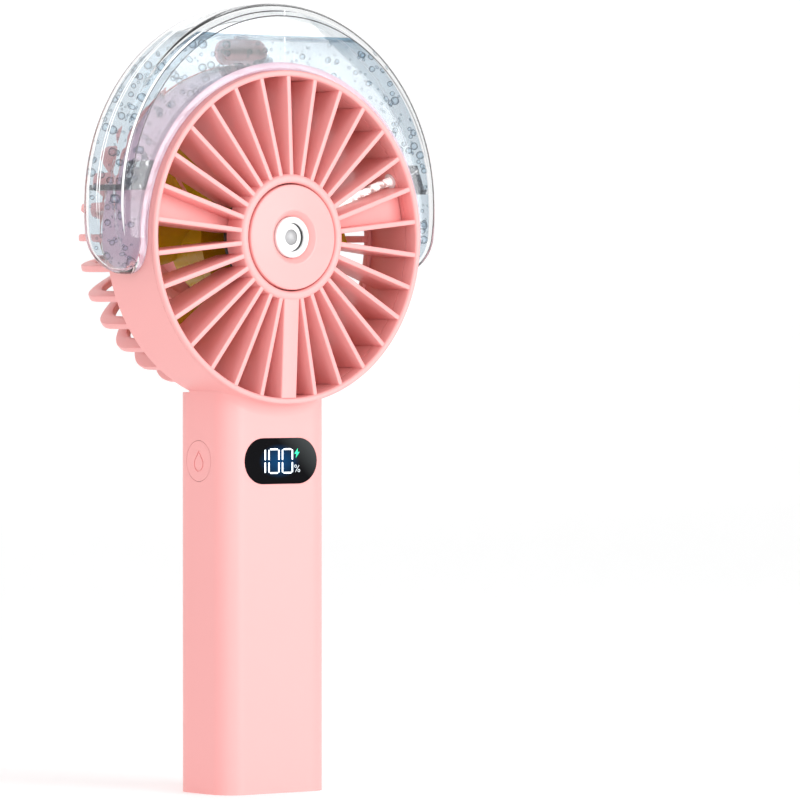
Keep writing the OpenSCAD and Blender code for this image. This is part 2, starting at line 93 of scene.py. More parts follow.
class FanGrille(bpy.types.PropertyGroup):
    """Sizes of the front grille"""

    places: whole("Places", "Vanes round the hub, the wide spoke counted as one", 30, 20)
    vane: length("Vane", "Thickness of a vane", 1.35)
    depth: length("Depth", "Depth of a vane at the barrel", 15)
    spoke: length("Spoke", "Width of the wide spoke", 5.2)
    hub: length("Hub", "Outer radius of the hub ring", 17.4)
    proud: length("Proud", "How far the hub stands ahead of the front ring", HUB_PROUD / MM)
    wall: length("Wall", "Width of the front ring", 1.7)


class FanGuard(bpy.types.PropertyGroup):
    """Sizes of the rear guard"""

    ribs: whole("Ribs", "Number of ribs", 30, 20)
    rib: length("Rib", "Thickness of a rib", 1.9)
    band: length("Band", "Width of a rib in its own plane", 4)
    radius: length("Radius", "Radius over the ribs", 42)
    hub: length("Hub", "Radius at which the ribs end", 16)


class FanTank(bpy.types.PropertyGroup):
    """Sizes of the water tank"""

    radius: length("Radius", "Radius of the outer arc", 55.2)
    shoulder: length("Shoulder", "Radius of the rounded shoulders", 5)
    wall: length("Wall", "Wall of the tank", 1.6)
    tip: length("Tip", "How far the legs reach below the axis", 10.3)
    level: length("Level", "Height of the water above the axis", 55.6)
    drops: bpy.props.FloatProperty(name="Drops", description="Drops on each square metre of the inner wall",
                                   default=60000)
    seed: whole("Seed", "Seed of the drops' places", 7)


class FanColours(bpy.types.PropertyGroup):
    """Colours of the finishes"""

    pink: colour("Pink", "Moulded shells", (0.93, 0.43, 0.42))
    pink_deep: colour("Deep pink", "Thicker parts of the shells", (0.90, 0.39, 0.38))
    yellow: colour("Yellow", "Impeller", (0.47, 0.30, 0.006))
    water: colour("Water", "Water in the tank", (0.825, 0.868, 0.90))
    digits: colour("Digits", "Lit digits", (0.85, 0.95, 1.0))
    glow: colour("Glow", "Light around the digits", (0.0, 0.10, 0.30))


def sizes():
    """The scene's property groups: grille, guard, tank and colours"""
    scene = bpy.context.scene
    return scene.fan_grille, scene.fan_guard, scene.fan_tank, scene.fan_colours


# ---- Shader maths ----

class Value:
    """A number socket that Python's operators can work on"""

    def __init__(self, tree, socket):
        self.tree, self.socket = tree, socket

    def maths(self, operation, *others):
        node = self.tree.nodes.new("ShaderNodeMath")
        node.operation = operation
        for slot, item in zip(node.inputs, (self,) + others):
            if isinstance(item, Value):
                self.tree.links.new(item.socket, slot)
            else:
                slot.default_value = item
        return Value(self.tree, node.outputs[0])

    def reflected(self, operation, other):
        node = self.tree.nodes.new("ShaderNodeMath")
        node.operation = operation
        node.inputs[0].default_value = other
        self.tree.links.new(self.socket, node.inputs[1])
        return Value(self.tree, node.outputs[0])

    def __add__(self, other):
        return self.maths("ADD", other)

    def __sub__(self, other):
        return self.maths("SUBTRACT", other)

    def __mul__(self, other):
        return self.maths("MULTIPLY", other)

    def __truediv__(self, other):
        return self.maths("DIVIDE", other)

    def __pow__(self, other):
        return self.maths("POWER", other)

    def __rsub__(self, other):
        return self.reflected("SUBTRACT", other)

    def __rtruediv__(self, other):
        return self.reflected("DIVIDE", other)

    __radd__ = __add__
    __rmul__ = __mul__

    def clamp(self):
        node = self.tree.nodes.new("ShaderNodeClamp")
        self.tree.links.new(self.socket, node.inputs[0])
        return Value(self.tree, node.outputs[0])


class Finish:
    """One material under construction"""

    def __init__(self, name):
        self.material = bpy.data.materials.new(name)
        self.material.use_nodes = True
        self.tree = self.material.node_tree
        self.tree.nodes.clear()
        self.output = self.tree.nodes.new("ShaderNodeOutputMaterial")

    def node(self, kind, settings=None, **inputs):
        """Adds a node: its settings first, then values or links for its sockets, named with _ for a space"""
        node = self.tree.nodes.new(kind)
        for key, value in (settings or {}).items():
            setattr(node, key, value)
        for key, value in inputs.items():
            self.feed(node.inputs[key.replace("_", " ")], value)
        return node

    def feed(self, socket, value):
        if isinstance(value, Value):
            self.tree.links.new(value.socket, socket)
        elif isinstance(value, bpy.types.NodeSocket):
            self.tree.links.new(value, socket)
        else:
            socket.default_value = value

    def place(self):
        return self.node("ShaderNodeTexCoord").outputs["Object"]

    def noise(self, scale, detail=3.0, rough=0.5):
        node = self.node("ShaderNodeTexNoise", Vector=self.place(), Scale=scale, Detail=detail,
                         Roughness=rough)
        return Value(self.tree, node.outputs["Fac"])

    def blend(self, factor, first, second):
        """Colour between two colours"""
        node = self.node("ShaderNodeMix", {"data_type": "RGBA"})
        self.feed(node.inputs[0], factor)
        for socket, value in ((node.inputs[6], first), (node.inputs[7], second)):
            self.feed(socket, (*value, 1) if isinstance(value, tuple) else value)
        return node.outputs[2]

    def bump(self, height, strength, distance):
        node = self.node("ShaderNodeBump", Height=height, Strength=strength, Distance=distance)
        return node.outputs["Normal"]

    def shader(self, **inputs):
        return self.node("ShaderNodeBsdfPrincipled", **inputs)

    def surface(self, **inputs):
        """Ends the material with a Principled shader"""
        self.tree.links.new(self.shader(**inputs).outputs[0], self.output.inputs["Surface"])
        return self.material

    def film(self, factor, clear, shader):
        """Ends the material with a clear film that turns into the shader by the factor"""
        see_through = self.node("ShaderNodeBsdfTransparent", Color=(*clear, 1))
        mix = self.node("ShaderNodeMixShader")
        self.feed(mix.inputs[0], factor)
        self.tree.links.new(see_through.outputs[0], mix.inputs[1])
        self.tree.links.new(shader.outputs[0], mix.inputs[2])
        self.tree.links.new(mix.outputs[0], self.output.inputs["Surface"])
        return self.material


MADE = {}


def finish(name):
    """The material of that name, made once"""
    if name not in MADE:
        MADE[name] = mottled(name, *MOTTLED[name]) if name in MOTTLED else RECIPES[name]()
    return MADE[name]


def moulded_pink():
    """Fine satin grain over a slow drift of tone"""
    colours = sizes()[3]
    f = Finish("moulded_pink")
    drift = f.noise(18.0)
    grain = f.noise(5200.0, 2.0)
    tone = f.blend(drift * 0.5, tuple(colours.pink), tuple(colours.pink_deep))
    return f.surface(Base_Color=tone, Roughness=drift * 0.12 + 0.32, Normal=f.bump(grain, 0.12, 0.00004),
                     IOR=1.46)


def pink_silicone():
    colours = sizes()[3]
    f = Finish("pink_silicone")
    dust = f.noise(900.0)
    tone = f.blend(dust * 0.3, tuple(colours.pink_deep), tuple(colours.pink))
    return f.surface(Base_Color=tone, Roughness=dust * 0.15 + 0.5, Normal=f.bump(dust, 0.1, 0.00005))


def clear_plastic():
    """Clear wall of the tank"""
    f = Finish("clear_plastic")
    ripple = f.noise(60.0)
    return f.surface(Base_Color=(0.97, 0.985, 0.99, 1), Roughness=ripple * 0.02, Transmission_Weight=1.0,
                     IOR=1.44,
                     Normal=f.bump(ripple, 0.03, 0.0004))


def divider_painted_shade_and_glints():
    """Thick clear wall seen edge on, with painted shade and painted glints: dark with bright specks"""
    f = Finish("divider_painted_shade_and_glints")
    lumps = f.noise(380.0, 2.0)
    # Painted shade and painted glints: near black where the noise is low, white where it is high
    tint = f.blend(((lumps - 0.56) * 12.0).clamp(), (0.05, 0.06, 0.08), (0.92, 0.93, 0.94))
    shader = f.shader(Base_Color=tint, Roughness=lumps * 0.3)
    return f.film((lumps * 1.2 + 0.05).clamp(), (0.88, 0.90, 0.92), shader)


def clear_painted_glint():
    """Wet clear tube with painted highlights: white glints that glow, placed by noise"""
    f = Finish("clear_painted_glint")
    lumps = f.noise(430.0, 2.0)
    # Painted highlights: white glints with a glow, where the noise is high
    shader = f.shader(Base_Color=(0.96, 0.95, 0.94, 1), Roughness=lumps * 0.2, Emission_Color=(1, 1, 1, 1),
                    Emission_Strength=0.45)
    return f.film(((lumps - 0.47) * 9.0).clamp() * 0.85 + 0.1, (0.97, 0.93, 0.92), shader)


def painted_wall_glow():
    """Painted light: a pale lilac glow, given as emission, that makes the barrel seen through the tank look
    lit
    """
    f = Finish("painted_wall_glow")
    cloud = f.noise(55.0)
    # Painted light: lilac emission, varied by noise
    tint = f.blend(cloud, (0.90, 0.72, 0.80), (0.80, 0.68, 0.80))
    shader = f.shader(Base_Color=tint, Roughness=0.3, Emission_Color=(0.98, 0.64, 0.76, 1),
                      Emission_Strength=0.45)
    return f.film(cloud * 0.35 + 0.28, (0.95, 0.95, 0.97), shader)


def seam_painted_highlight():
    """Seam line where two clear halves meet, made bright by a painted highlight given as emission"""
    f = Finish("seam_painted_highlight")
    gaps = f.noise(160.0)
    # Painted highlight: white with a glow, broken into gaps by noise
    shader = f.shader(Base_Color=(0.96, 0.97, 0.98, 1), Roughness=gaps * 0.2, Emission_Color=(1, 1, 1, 1),
                    Emission_Strength=0.3)
    return f.film((gaps * 0.9 + 0.35).clamp(), (0.98, 0.98, 0.98), shader)


def painted_dark_edge():
    """Painted reflection: the dark line that the rounded shoulders of thick clear plastic show, drawn as a
    thin dark strip
    """
    f = Finish("painted_dark_edge")
    streak = f.noise(90.0)
    tint = f.blend(streak, (0.05, 0.07, 0.11), (0.16, 0.11, 0.11))
    shader = f.shader(Base_Color=tint, Roughness=0.15)
    return f.film((streak * 1.5 - 0.1).clamp(), (0.96, 0.96, 0.97), shader)


def still_water():
    """Clear water, darker at its rim, with a painted dark line along its flat top and painted shade below
    the top towards the sides
    """
    tank, colours = sizes()[2:]
    f = Finish("still_water")
    edge = Value(f.tree, f.node("ShaderNodeLayerWeight", Blend=0.3).outputs["Facing"])
    apart = f.node("ShaderNodeSeparateXYZ", Vector=f.place())
    below = (AXIS.z + tank.level - Value(f.tree, apart.outputs[2])) / MM
    aside = ((Value(f.tree, apart.outputs[0]) / MM).maths("ABSOLUTE") - 9.0) / 8.0
    # Painted shade: a dark band at the water's top, and a darker zone just below it away from the middle
    line = (1.5 - below * 1.6).clamp()
    shade = (1 - below / 5.5).clamp() * aside.clamp()
    cloud = f.noise(45.0)
    tint = f.blend(cloud * 0.6, (0.16, 0.34, 0.48), (0.28, 0.46, 0.58))
    gloss = f.shader(Base_Color=tint, Roughness=0.04)
    return f.film((edge ** 4.0 * 0.6 + line * 0.45 + shade * 0.3 + 0.02).clamp(), tuple(colours.water),
                  gloss)


def water_drop():
    """Bead of water on the wall, its dark rim heavier on the lower left as painted shade"""
    f = Finish("water_drop")
    ripple = f.noise(700.0)
    edge = Value(f.tree, f.node("ShaderNodeLayerWeight", Blend=0.5).outputs["Facing"])
    apart = f.node("ShaderNodeSeparateXYZ", Vector=f.node("ShaderNodeNewGeometry").outputs["Normal"])
    # Painted shade: the dark rim is heavier where the bead's surface faces left and down
    side = (0.75 - Value(f.tree, apart.outputs[0]) * 0.6 - Value(f.tree, apart.outputs[2]) * 0.7).clamp()
    tint = f.blend(ripple * 0.5, (0.02, 0.07, 0.14), (0.08, 0.16, 0.25))
    rim = f.shader(Base_Color=tint, Roughness=ripple * 0.03 + 0.02)
    return f.film((edge ** 1.7 * side * 1.7 + 0.03).clamp(), (0.95, 0.98, 1.0), rim)


def mottled(name, scale, first, second, rough, share=1.0, detail=3.0, metal=0.0, bump=None):
    """Finish of two colours mixed by noise, whose roughness goes from its first value up by its second"""
    f = Finish(name)
    spots = f.noise(scale, detail)
    grain = {"Normal": f.bump(spots, *bump)} if bump else {}
    return f.surface(Base_Color=f.blend(spots * share, first, second), Metallic=metal,
                     Roughness=spots * rough[1] + rough[0], **grain)


def black_window():
    """Smoked window with a soft glow behind it around the digits, and a painted reflection: a grey sheen
    towards its upper right
    """
    colours = sizes()[3]
    f = Finish("black_window")
    middle = (LENS_LOW + LENS_HIGH) / 2
    shift = f.node("ShaderNodeMapping", Vector=f.place(), Location=(-middle.x + 0.6 * MM, 0, -middle.z))
    apart = f.node("ShaderNodeSeparateXYZ", Vector=shift.outputs[0])
    across = Value(f.tree, apart.outputs[0]) / (7.2 * MM)
    above = Value(f.tree, apart.outputs[2]) / (4.9 * MM)
    glow = (1 - (across ** 2 + above ** 2)).clamp() ** 1.4
    # Painted reflection: a grey sheen, given as emission, that grows towards the upper right of the window
    sheen = (across * 0.5 + above * 0.35 - 0.35).clamp()
    haze = f.noise(500.0)
    tone = f.blend(sheen, f.blend(glow, (0.0, 0.0, 0.0), tuple(colours.glow)), (0.16, 0.18, 0.18))
    return f.surface(Base_Color=(0.004, 0.004, 0.005, 1), Roughness=haze * 0.04 + 0.08,
                     Specular_IOR_Level=0.01,
                     Emission_Color=tone, Emission_Strength=0.6)


def lit(name, colour, strength):
    f = Finish(name)
    spread = f.noise(3000.0)
    tone = f.blend(spread * 0.25, colour, tuple(c * 0.8 for c in colour))
    return f.surface(Base_Color=tone, Emission_Color=tone, Emission_Strength=strength, Roughness=0.4)


def yellow_plastic():
    colours = sizes()[3]
    f = Finish("yellow_plastic")
    drift = f.noise(90.0)
    tone = f.blend(drift * 0.5, tuple(colours.yellow), tuple(c * 0.8 for c in colours.yellow))
    return f.surface(Base_Color=tone, Roughness=drift * 0.1 + 0.22)


def wick_fibre():
    f = Finish("wick_fibre")
    fibres = f.noise(2800.0, 6.0, 0.8)
    return f.surface(Base_Color=f.blend(fibres, (0.86, 0.83, 0.74), (0.66, 0.62, 0.52)), Roughness=0.9,
                     Normal=f.bump(fibres, 0.5, 0.0001))


def studio_floor():
    f = Finish("studio_floor")
    mottle = f.noise(3.0)
    return f.surface(Base_Color=f.blend(mottle * 0.4, (0.95, 0.95, 0.95), (0.92, 0.92, 0.92)),
                     Roughness=0.85,
                     Emission_Color=(1, 1, 1, 1), Emission_Strength=0.19)


RECIPES = {make.__name__: make for make in (
    moulded_pink, pink_silicone, clear_plastic, divider_painted_shade_and_glints, clear_painted_glint, painted_wall_glow, seam_painted_highlight,
    painted_dark_edge,
    still_water, water_drop, black_window, yellow_plastic, wick_fibre, studio_floor)}
RECIPES["lit_digits"] = lambda: lit("lit_digits", tuple(sizes()[3].digits), 1.7)
RECIPES["lit_percent"] = lambda: lit("lit_percent", tuple(sizes()[3].digits), 0.7)
RECIPES["lit_bolt"] = lambda: lit("lit_bolt", (0.004, 0.64, 0.30), 1.15)

# Noise scale, two colours, roughness and its rise, and what else mottled() takes
MOTTLED = {
    "gloss_white": (240, (0.93, 0.93, 0.93), (0.86, 0.87, 0.88), (0.16, 0.1), 0.5),
    "white_silicone": (420, (0.9, 0.9, 0.9), (0.8, 0.8, 0.81), (0.45, 0.2), 0.5),
    "polished_steel": (1500, (0.60, 0.61, 0.63), (0.36, 0.37, 0.39), (0.22, 0.18), 0.6, 4.0, 1.0),
    "satin_steel": (1500, (0.50, 0.50, 0.51), (0.34, 0.34, 0.35), (0.5, 0.1), 0.5, 4.0, 0.6),
    "black_plastic": (2400, (0.012, 0.012, 0.013), (0.03, 0.03, 0.032), (0.4, 0.2), 0.5, 3.0, 0.0,
                      (0.15, 0.00005)),
    "copper_winding": (2600, (0.52, 0.20, 0.08), (0.30, 0.10, 0.05), (0.25, 0.3), 1.0, 2.0, 1.0),
    "bronze": (3200, (0.62, 0.44, 0.18), (0.40, 0.27, 0.10), (0.3, 0.3), 1.0, 3.0, 1.0),
    "ferrite": (1800, (0.05, 0.05, 0.055), (0.10, 0.10, 0.105), (0.5, 0.3)),
    "cream_plastic": (600, (0.78, 0.74, 0.62), (0.70, 0.65, 0.53), (0.4, 0.15)),
    "circuit_board": (520, (0.01, 0.16, 0.06), (0.03, 0.28, 0.10), (0.3, 0.2), 1.0, 1.0),
    "battery_wrap": (160, (0.05, 0.22, 0.45), (0.08, 0.30, 0.55), (0.22, 0.15), 1.0, 3.0, 0.0,
                     (0.2, 0.0002)),
    "wire_sleeve": (900, (0.35, 0.02, 0.02), (0.22, 0.01, 0.01), (0.35, 0.15)),
}

NODE_FINISH = {
    "moulded_pink": ["main_housing", "base_cap", "hub_cap", "mist_button", "power_button"],
    "satin_steel": ["mesh_plate"],
    "polished_steel": ["base_cap_screws", "motor_can", "motor_shaft", "motor_screws", "battery_tabs",
                       "usb_c_port"],
    "gloss_white": ["nozzle_ring"],
    "white_silicone": ["mist_seal_front", "mist_seal_rear", "tube_grommet"],
    "cream_plastic": ["piezo_ring", "motor_end_cap", "mist_plunger", "power_plunger"],
    "wick_fibre": ["wick"],
    "black_plastic": ["mist_module_cover", "battery_cradle", "display_module", "switch_bodies",
                      "shaft_cap"],
    "black_window": ["display_lens"],
    "clear_painted_glint": ["feed_tube"],
    "divider_painted_shade_and_glints": ["tank_dividers"],
    "yellow_plastic": ["impeller"],
    "pink_silicone": ["fill_plug"],
    "ferrite": ["motor_magnets"],
    "copper_winding": ["motor_rotor"],
    "bronze": ["front_bearing", "rear_bearing"],
    "circuit_board": ["main_pcb", "charge_pcb"],
    "battery_wrap": ["battery_cell"],
    "wire_sleeve": ["motor_leads", "mist_leads", "handle_leads"],
}


# ---- Mesh helpers ----

def at(x, depth, up):
    """Point of the head, from its distance right of the axis, its depth and its height over the axis"""
    return Vector((AXIS.x + x, AXIS.y + depth, AXIS.z + up))


def rounded(corners, steps=4):
    """Closed outline whose corners (u, v, radius) are turned into arcs of steps + 1 points"""
    points = []
    for i, (u, v, radius) in enumerate(corners):
        corner = Vector((u, v))
        back = Vector(corners[i - 1][:2]) - corner
        ahead = Vector(corners[(i + 1) % len(corners)][:2]) - corner
        half = back.angle(ahead) / 2
        reach = min(radius / math.tan(half), 0.499 * back.length, 0.499 * ahead.length)
        centre = corner + (back.normalized() + ahead.normalized()).normalized() * reach / math.cos(half)
        first = corner + back.normalized() * reach - centre
        last = corner + ahead.normalized() * reach - centre
        start = math.atan2(first.y, first.x)
        turn = (math.atan2(last.y, last.x) - start + math.pi) % math.tau - math.pi
        for s in range(steps + 1):
            angle = start + turn * s / steps
            points.append((centre.x + first.length * math.cos(angle),
                           centre.y + first.length * math.sin(angle)))
    return points


def piece(name, mesh, material, body=BODY, smooth=True):
    """Object of a mesh, with its finish and its body"""
    thing = bpy.data.objects.new(name, mesh)
    bpy.context.scene.collection.objects.link(thing)
    mesh.materials.clear()
    mesh.materials.append(finish(material))
    if smooth:
        mesh.polygons.foreach_set("use_smooth", [True] * len(mesh.polygons))
    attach(thing, body)
    return thing


def mesh_of(name, build):
    """Mesh filled by a bmesh function, with doubles merged and its faces turned outwards"""
    shape = bmesh.new()
    build(shape)
    bmesh.ops.remove_doubles(shape, verts=shape.verts, dist=1e-6)
    bmesh.ops.recalc_face_normals(shape, faces=shape.faces)
    mesh = bpy.data.meshes.new(name)
    shape.to_mesh(mesh)
    shape.free()
    return mesh


def add_loops(shape, loops, closed):
    """Skins a row of point loops with quads; an open row gets caps unless its ends are points"""
    rows = [[shape.verts.new(p) for p in loop] for loop in loops]
    pairs = list(zip(rows, rows[1:])) + ([(rows[-1], rows[0])] if closed else [])
    for a, b in pairs:
        for i in range(len(a)):
            j = (i + 1) % len(a)
            shape.faces.new((a[i], a[j], b[j], b[i]))
    if not closed:
        for row in (rows[0], rows[-1]):
            if (row[0].co - row[len(row) // 2].co).length > 1e-6:
                shape.faces.new(row)


def add_lathe(shape, outline, steps=180):
    """Turns a closed outline of (radius, depth) about the head's axis"""
    loops = []
    for i in range(steps):
        angle = math.tau * i / steps
        loops.append([at(r * math.cos(angle), d, r * math.sin(angle)) for r, d in outline])
    add_loops(shape, loops, True)


def sharpen(mesh, degrees=32):
    """Smooth shading that keeps edges sharper than an angle"""
    mesh.polygons.foreach_set("use_smooth", [True] * len(mesh.polygons))
    shape = bmesh.new()
    shape.from_mesh(mesh)
    for edge in shape.edges:
        edge.smooth = len(edge.link_faces) != 2 or edge.calc_face_angle(0) < math.radians(degrees)
    shape.to_mesh(mesh)
    shape.free()


def plate_mesh(name, outline, thickness, edge):
    """Flat bar in the plane of radius and depth, with softened edges and the head's axis at the origin"""

    def build(shape):
        sides = [[shape.verts.new((r, d, z)) for r, d in outline] for z in (-thickness / 2, thickness / 2)]
        faces = [shape.faces.new(side) for side in sides]
        for i in range(len(outline)):
            j = (i + 1) % len(outline)
            shape.faces.new((sides[0][i], sides[0][j], sides[1][j], sides[1][i]))
        rim = [e for face in faces for e in face.edges]
        bmesh.ops.recalc_face_normals(shape, faces=shape.faces)
        bmesh.ops.bevel(shape, geom=rim, offset=edge, segments=2, profile=0.5, affect="EDGES",
                        clamp_overlap=True)

    return mesh_of(name, build)


# ---- Geometry Nodes ----

def new_tree(name, inputs):
    """Geometry node group with a geometry in and out and the named inputs"""
    tree = bpy.data.node_groups.new(name, "GeometryNodeTree")
    tree.interface.new_socket("Geometry", in_out="INPUT", socket_type="NodeSocketGeometry")
    for label, kind in inputs:
        tree.interface.new_socket(label, in_out="INPUT", socket_type=kind)
    tree.interface.new_socket("Geometry", in_out="OUTPUT", socket_type="NodeSocketGeometry")
    return tree, tree.nodes.new("NodeGroupInput"), tree.nodes.new("NodeGroupOutput")


def link_all(tree, pairs):
    for source, target in pairs:
        tree.links.new(source, target)


def paint_copies(tree, source, copies, result):
    """Ends a tree: makes the copies real, because instances aren't exported, and gives them the material"""
    real = tree.nodes.new("GeometryNodeRealizeInstances")
    paint = tree.nodes.new("GeometryNodeSetMaterial")
    link_all(tree, [
        (copies.outputs[0], real.inputs[0]), (real.outputs[0], paint.inputs["Geometry"]),
        (source.outputs["Material"], paint.inputs["Material"]), (paint.outputs[0], result.inputs[0])])
    return tree


def ring_tree():
    """Copies of a part turned about the head's axis, in neighbouring places from the start onwards"""
    tree, source, result = new_tree("ring_of_copies", [
        ("Count", "NodeSocketInt"), ("Places", "NodeSocketInt"), ("Start", "NodeSocketFloat"),
        ("Centre", "NodeSocketVector"), ("Material", "NodeSocketMaterial")])
    points = tree.nodes.new("GeometryNodePoints")
    index = tree.nodes.new("GeometryNodeInputIndex")
    pitch = tree.nodes.new("ShaderNodeMath")
    pitch.operation = "DIVIDE"
    pitch.inputs[0].default_value = -math.tau
    angle = tree.nodes.new("ShaderNodeMath")
    angle.operation = "MULTIPLY_ADD"
    turn = tree.nodes.new("ShaderNodeCombineXYZ")
    copies = tree.nodes.new("GeometryNodeInstanceOnPoints")
    given = source.outputs
    link_all(tree, [
        (given["Count"], points.inputs["Count"]), (given["Centre"], points.inputs["Position"]),
        (given["Places"], pitch.inputs[1]), (index.outputs[0], angle.inputs[0]),
        (pitch.outputs[0], angle.inputs[1]), (given["Start"], angle.inputs[2]),
        (angle.outputs[0], turn.inputs[1]), (points.outputs[0], copies.inputs["Points"]),
        (given["Geometry"], copies.inputs["Instance"]),
        (turn.outputs[0], copies.inputs["Rotation"])])
    return paint_copies(tree, source, copies, result)


def drops_tree():
    """Beads of random size strewn over a surface"""
    tree, source, result = new_tree("strewn_drops", [
        ("Density", "NodeSocketFloat"), ("Smallest", "NodeSocketFloat"), ("Largest", "NodeSocketFloat"),
        ("Seed", "NodeSocketInt"), ("Material", "NodeSocketMaterial")])
    strew = tree.nodes.new("GeometryNodeDistributePointsOnFaces")
    strew.distribute_method = "RANDOM"
    bead = tree.nodes.new("GeometryNodeMeshIcoSphere")
    bead.inputs["Subdivisions"].default_value = 3
    bead.inputs["Radius"].default_value = 1.0
    chance = tree.nodes.new("FunctionNodeRandomValue")
    chance.data_type = "FLOAT"
    chance.inputs[2].default_value = 0.0
    chance.inputs[3].default_value = 1.0
    skew = tree.nodes.new("ShaderNodeMath")
    skew.operation = "POWER"
    skew.inputs[1].default_value = 2.6
    span = tree.nodes.new("ShaderNodeMapRange")
    copies = tree.nodes.new("GeometryNodeInstanceOnPoints")
    given = source.outputs
    link_all(tree, [
        (given["Geometry"], strew.inputs["Mesh"]), (given["Density"], strew.inputs["Density"]),
        (given["Seed"], strew.inputs["Seed"]), (given["Seed"], chance.inputs["Seed"]),
        (chance.outputs[1], skew.inputs[0]), (skew.outputs[0], span.inputs["Value"]),
        (given["Smallest"], span.inputs["To Min"]), (given["Largest"], span.inputs["To Max"]),
        (strew.outputs["Points"], copies.inputs["Points"]), (bead.outputs["Mesh"],
                                                             copies.inputs["Instance"]),
        (span.outputs[0], copies.inputs["Scale"])])
    return paint_copies(tree, source, copies, result)


def grown(name, mesh, tree, **inputs):
    """Mesh that a geometry node tree makes of another mesh"""
    thing = bpy.data.objects.new(name, mesh)
    bpy.context.scene.collection.objects.link(thing)
    nodes = thing.modifiers.new("nodes", "NODES")
    nodes.node_group = tree
    labels = {s.name: s.identifier for s in tree.interface.items_tree if s.in_out == "INPUT"}
    for key, value in inputs.items():
        nodes[labels[key.replace("_", " ")]] = value
    thing.update_tag()
    bpy.context.view_layer.update()
    result = bpy.data.meshes.new_from_object(thing.evaluated_get(bpy.context.evaluated_depsgraph_get()))
    bpy.data.objects.remove(thing)
    result.name = name
    return result


def joined(name, meshes):
    """One mesh of several, each kept whole"""
    shape = bmesh.new()
    for mesh in meshes:
        shape.from_mesh(mesh)
    result = bpy.data.meshes.new(name)
    shape.to_mesh(result)
    shape.free()
    return result


# ---- Grille and guard ----

class FAN_OT_grille(bpy.types.Operator):
    """Front ring, hub ring, vanes, struts and the wide spoke"""

    bl_idname = "fan.grille"
    bl_label = "Front grille"

    def execute(self, context):
        size = sizes()[0]
        inner = BARREL_R - size.wall
        hub = size.hub
        floor_front, floor_back = 4.6 * MM, 5.8 * MM
        setback, overlap, lap = 0.45 * MM, 0.6 * MM, 0.3 * MM
        strut_front, strut_back, strut_gap = 6.2 * MM, 8.2 * MM, math.radians(0.5)
        web_back, web_front = 12 * MM, 2 * MM
        out = size.proud
        vane = [(hub - overlap, setback - out), (inner + lap, setback), (inner + lap, 4.8 * MM),
                (inner - 0.1 * MM, 4.9 * MM), (inner - 0.1 * MM, size.depth),
                (hub + overlap, size.depth * 0.7),
                (hub - overlap, floor_back - lap)]
        vanes = grown("vanes", plate_mesh("vane", vane, size.vane, 0.32 * MM), ring_tree(),
                      Count=size.places - 1,
                      Places=size.places, Start=math.pi / 2 - math.tau / size.places, Centre=tuple(AXIS),
                      Material=finish("moulded_pink"))

        def build(shape):
            r = 0.8 * MM
            add_lathe(shape, rounded([
                (inner, 5 * MM, 0.1 * MM), (inner, 0, r), (BARREL_R, 0, r),
                (BARREL_R, 1.42 * MM, 0.05 * MM),
                (BARREL_R - 0.95 * MM, 1.42 * MM, 0.05 * MM), (BARREL_R - 0.95 * MM, 5 * MM, 0.1 * MM)]))
            add_lathe(shape, rounded([
                (hub - 2.5 * MM, floor_front, 0.2 * MM), (hub - 2.5 * MM, -out, 0.9 * MM),
                (hub, -out, 1.1 * MM),
                (hub, floor_back, 0.1 * MM), (8.5 * MM, floor_back, 0.1 * MM),
                (8.5 * MM, floor_front, 0.1 * MM)], 5))
            pitch = math.tau / size.places
            half = pitch / 2 - strut_gap
            for side in (pitch, math.pi - pitch):
                arc = [side + half * s / 4 for s in range(-4, 5)]
                edge = [(hub - 0.4 * MM, a) for a in arc] + [(inner - lap, a) for a in reversed(arc)]
                add_loops(shape, [[at(r * math.cos(a), d, r * math.sin(a)) for r, a in edge]
                                  for d in (strut_front, strut_back)], False)

        rings = mesh_of("grille_rings", build)
        half, rib = size.spoke / 2, size.spoke / 2 - MM
        spoke = [(-half, 0.4 * MM, 0.4 * MM), (half, 0.4 * MM, 0.4 * MM), (half, web_back, 0.2 * MM),
                 (rib, web_back, 0.2 * MM), (rib, web_front, 0.3 * MM), (-rib, web_front, 0.3 * MM),
                 (-rib, web_back, 0.2 * MM), (-half, web_back, 0.2 * MM)]
        ends = ((hub - overlap, out), (inner - 0.05 * MM, 0))
        channel = mesh_of("spoke", lambda shape: add_loops(
            shape, [[at(x, d - rise, -r) for x, d in rounded(spoke, 3)] for r, rise in ends], False))
        mesh = joined("grille", [vanes, rings, channel])
        sharpen(mesh)
        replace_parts(piece("grille", mesh, "moulded_pink"), "front_grille")
        return {"FINISHED"}


class FAN_OT_liner(bpy.types.Operator):
    """White floor in the bore of the mist outlet, with a painted shadow: a black crescent that widens
    towards the right
    """

    bl_idname = "fan.liner"
    bl_label = "Nozzle floor"

    def execute(self, context):
        out = sizes()[0].proud
        bore, collar, shift = 3.94 * MM, 2.98 * MM, 0.75 * MM
        floor_front, shadow_front, back = 0.75 * MM, 0.8 * MM, 3.1 * MM
        steps = 120
        turns = [math.tau * i / steps for i in range(steps)]

        def row(reach, depth):
            return [at(reach(t) * math.cos(t), depth, reach(t) * math.sin(t)) for t in turns]

        def rim(t):
            return min(bore - 0.02 * MM, math.sqrt(bore ** 2 - (shift * math.sin(t)) ** 2)
                       - shift * math.cos(t))

        # The black crescent is painted shadow: a dark piece where the bore's right wall lies in shade
        for name, inner, outer, front, material in (
                ("nozzle_floor", lambda t: collar, rim, floor_front, "gloss_white"),
                ("nozzle_painted_shadow", lambda t: rim(t) + 0.005 * MM, lambda t: bore, shadow_front, "black_plastic")):
            rows = [row(outer, front - out), row(outer, back), row(inner, back), row(inner, front - out)]
            piece(name, mesh_of(name, lambda shape: add_loops(shape, rows, True)), material)
        return {"FINISHED"}


